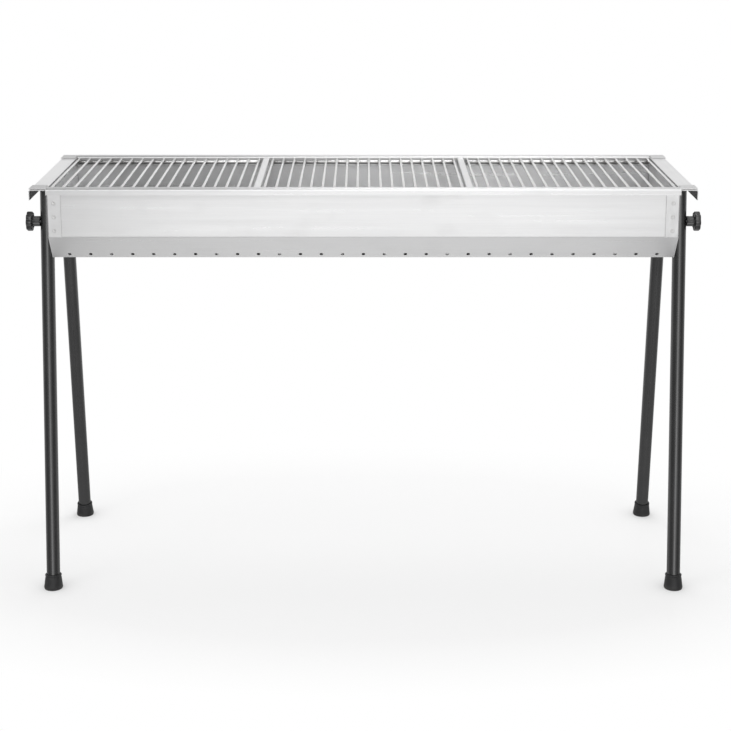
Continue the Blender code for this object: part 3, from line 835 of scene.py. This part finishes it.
# Area lamps: name, place, aim, width, height and watts
LAMPS = (
    ("overhead_softbox", (0.0, -0.3, 3.2), (0.0, 0.0, 0.4), 3.0, 2.4, 6.0),
    ("rear_softbox", (0.28, 0.75, 2.3), (0.15, 0.0, 0.7), 1.04, 0.6, 8.0),
    ("strip_light", (0.0, -0.7, 2.7), (0.0, 0.0, 0.7), 1.8, 0.16, 1.0),
    ("left_softbox", (-2.6, -1.8, 2.0), (0.0, 0.0, 0.5), 1.2, 1.8, 8.0),
)


def level_ramp(tree, value, stops):
    """A curve of levels up to MOST_LEVEL through (place, level) stops."""
    low, high = stops[0][0], stops[-1][0]
    node = add(tree, "ShaderNodeFloatCurve")
    curve = node.mapping.curves[0]
    for number, (place, level) in enumerate(stops):
        spot = ((place - low) / (high - low), level / MOST_LEVEL)
        if number < 2:
            curve.points[number].location = spot
        else:
            curve.points.new(*spot)
    for point in curve.points:
        point.handle_type = "VECTOR"
    node.mapping.update()
    tree.links.new(remap(tree, value, low, high), node.inputs["Value"])
    return scaled(tree, node.outputs["Value"], MOST_LEVEL)


def surround_group():
    """How bright the studio is in each direction.

    White ahead and behind, dark beside, a lit panel above the camera, a flat grey below, and a
    ceiling and ground of their own.
    """
    group, given, out = new_group(
        "studio_surround", [("Direction", "NodeSocketVector", None)], [("Level", "NodeSocketFloat")]
    )
    whole = add(group, "ShaderNodeVectorMath", operation="NORMALIZE")
    group.links.new(given["Direction"], whole.inputs[0])
    parts = add(group, "ShaderNodeSeparateXYZ")
    group.links.new(whole.outputs[0], parts.inputs[0])
    side, along, up = parts.outputs["X"], parts.outputs["Y"], parts.outputs["Z"]
    heading = maths(group, "ARCTAN2", side, scaled(group, along, -1.0))
    level = level_ramp(group, scaled(group, heading, 180 / math.pi), HEADINGS)
    level = scaled(group, level, level_ramp(group, up, HEIGHTS))
    ahead = remap(group, along, *PANEL_FADE)
    level = maths(group, "ADD", level, scaled(group, ahead, level_ramp(group, up, PANEL)))
    level = blend_value(group, remap(group, up, *BELOW_FADE), level, BELOW)
    ceiling = level_ramp(group, side, CEILING)
    level = blend_value(group, remap(group, up, *CEILING_FADE), level, ceiling)
    ground = level_ramp(group, side, GROUND)
    level = blend_value(group, remap(group, up, *GROUND_FADE), level, ground)
    group.links.new(level, out.inputs["Level"])
    return group


def studio_world(surround):
    world = bpy.data.worlds.new("studio")
    bpy.context.scene.world = world
    world.use_nodes = True
    tree = world.node_tree
    backdrop = tree.nodes["Background"]
    path = add(tree, "ShaderNodeLightPath").outputs
    heading = add(tree, "ShaderNodeTexCoord").outputs["Generated"]
    reflected = use_group(tree, surround, Direction=heading)["Level"]
    mirrored = maths(tree, "MAXIMUM", path["Is Glossy Ray"], path["Is Transmission Ray"])
    shiny = scaled(tree, reflected, mirrored)
    ambient = scaled(tree, path["Is Diffuse Ray"], AMBIENT)
    level = maths(tree, "ADD", maths(tree, "ADD", shiny, ambient), path["Is Camera Ray"])
    feed(tree, backdrop, Color=(1.0, 1.0, 1.0, 1.0), Strength=level)


def studio_floor():
    """A wide pale floor that takes the shadow and turns white further out."""
    bm = bmesh.new()
    bmesh.ops.create_circle(bm, cap_ends=True, segments=96, radius=FLOOR_RADIUS)
    mesh = bpy.data.meshes.new("studio_floor")
    bm.to_mesh(mesh)
    bm.free()
    floor = bpy.data.objects.new("studio_floor", mesh)
    bpy.context.scene.collection.objects.link(floor)
    made = bpy.data.materials.new("pale_floor")
    made.use_nodes = True
    tree = made.node_tree
    shader = tree.nodes["Principled BSDF"]
    # Contact shadow, which fades within a few centimetres of what stands there
    near = add(tree, "ShaderNodeAmbientOcclusion", samples=8)
    near.inputs["Distance"].default_value = CONTACT_REACH
    open_floor = remap(tree, near.outputs["AO"], 0.35, 0.95)
    pale = blend_colour(tree, open_floor, CONTACT_COLOUR, FLOOR_COLOUR)
    feed(tree, shader, Base_Color=pale, Roughness=0.9, Specular_IOR_Level=0.1)
    place = add(tree, "ShaderNodeTexCoord").outputs["Object"]
    far = add(tree, "ShaderNodeVectorMath", operation="LENGTH")
    tree.links.new(stretched(tree, place, (0.9, 1.7, 1.0)), far.inputs[0])
    away = remap(tree, far.outputs["Value"], WHITE_FROM, WHITE_TO)
    seen = add(tree, "ShaderNodeLightPath").outputs["Is Camera Ray"]
    glow = add(tree, "ShaderNodeEmission")
    share = scaled(tree, seen, maths(tree, "MAXIMUM", away, FLOOR_WHITENING))
    mix = add(tree, "ShaderNodeMixShader")
    tree.links.new(share, mix.inputs[0])
    tree.links.new(shader.outputs[0], mix.inputs[1])
    tree.links.new(glow.outputs[0], mix.inputs[2])
    tree.links.new(mix.outputs[0], tree.nodes["Material Output"].inputs["Surface"])
    mesh.materials.append(made)
    # Metal shows the studio below the horizon instead of this floor.
    floor.visible_glossy = False


def soft_light(name, place, aim, width, height, power):
    data = bpy.data.lights.new(name, "AREA")
    data.shape = "RECTANGLE"
    data.size = width
    data.size_y = height
    data.energy = power
    lamp = bpy.data.objects.new(name, data)
    bpy.context.scene.collection.objects.link(lamp)
    lamp.location = place
    lamp.rotation_euler = (Vector(aim) - Vector(place)).to_track_quat("-Z", "Y").to_euler()


def light_studio():
    bpy.context.scene.view_settings.view_transform = "Standard"
    studio_world(surround_group())
    studio_floor()
    for lamp in LAMPS:
        soft_light(*lamp)


place_camera()
build_object()
light_studio()
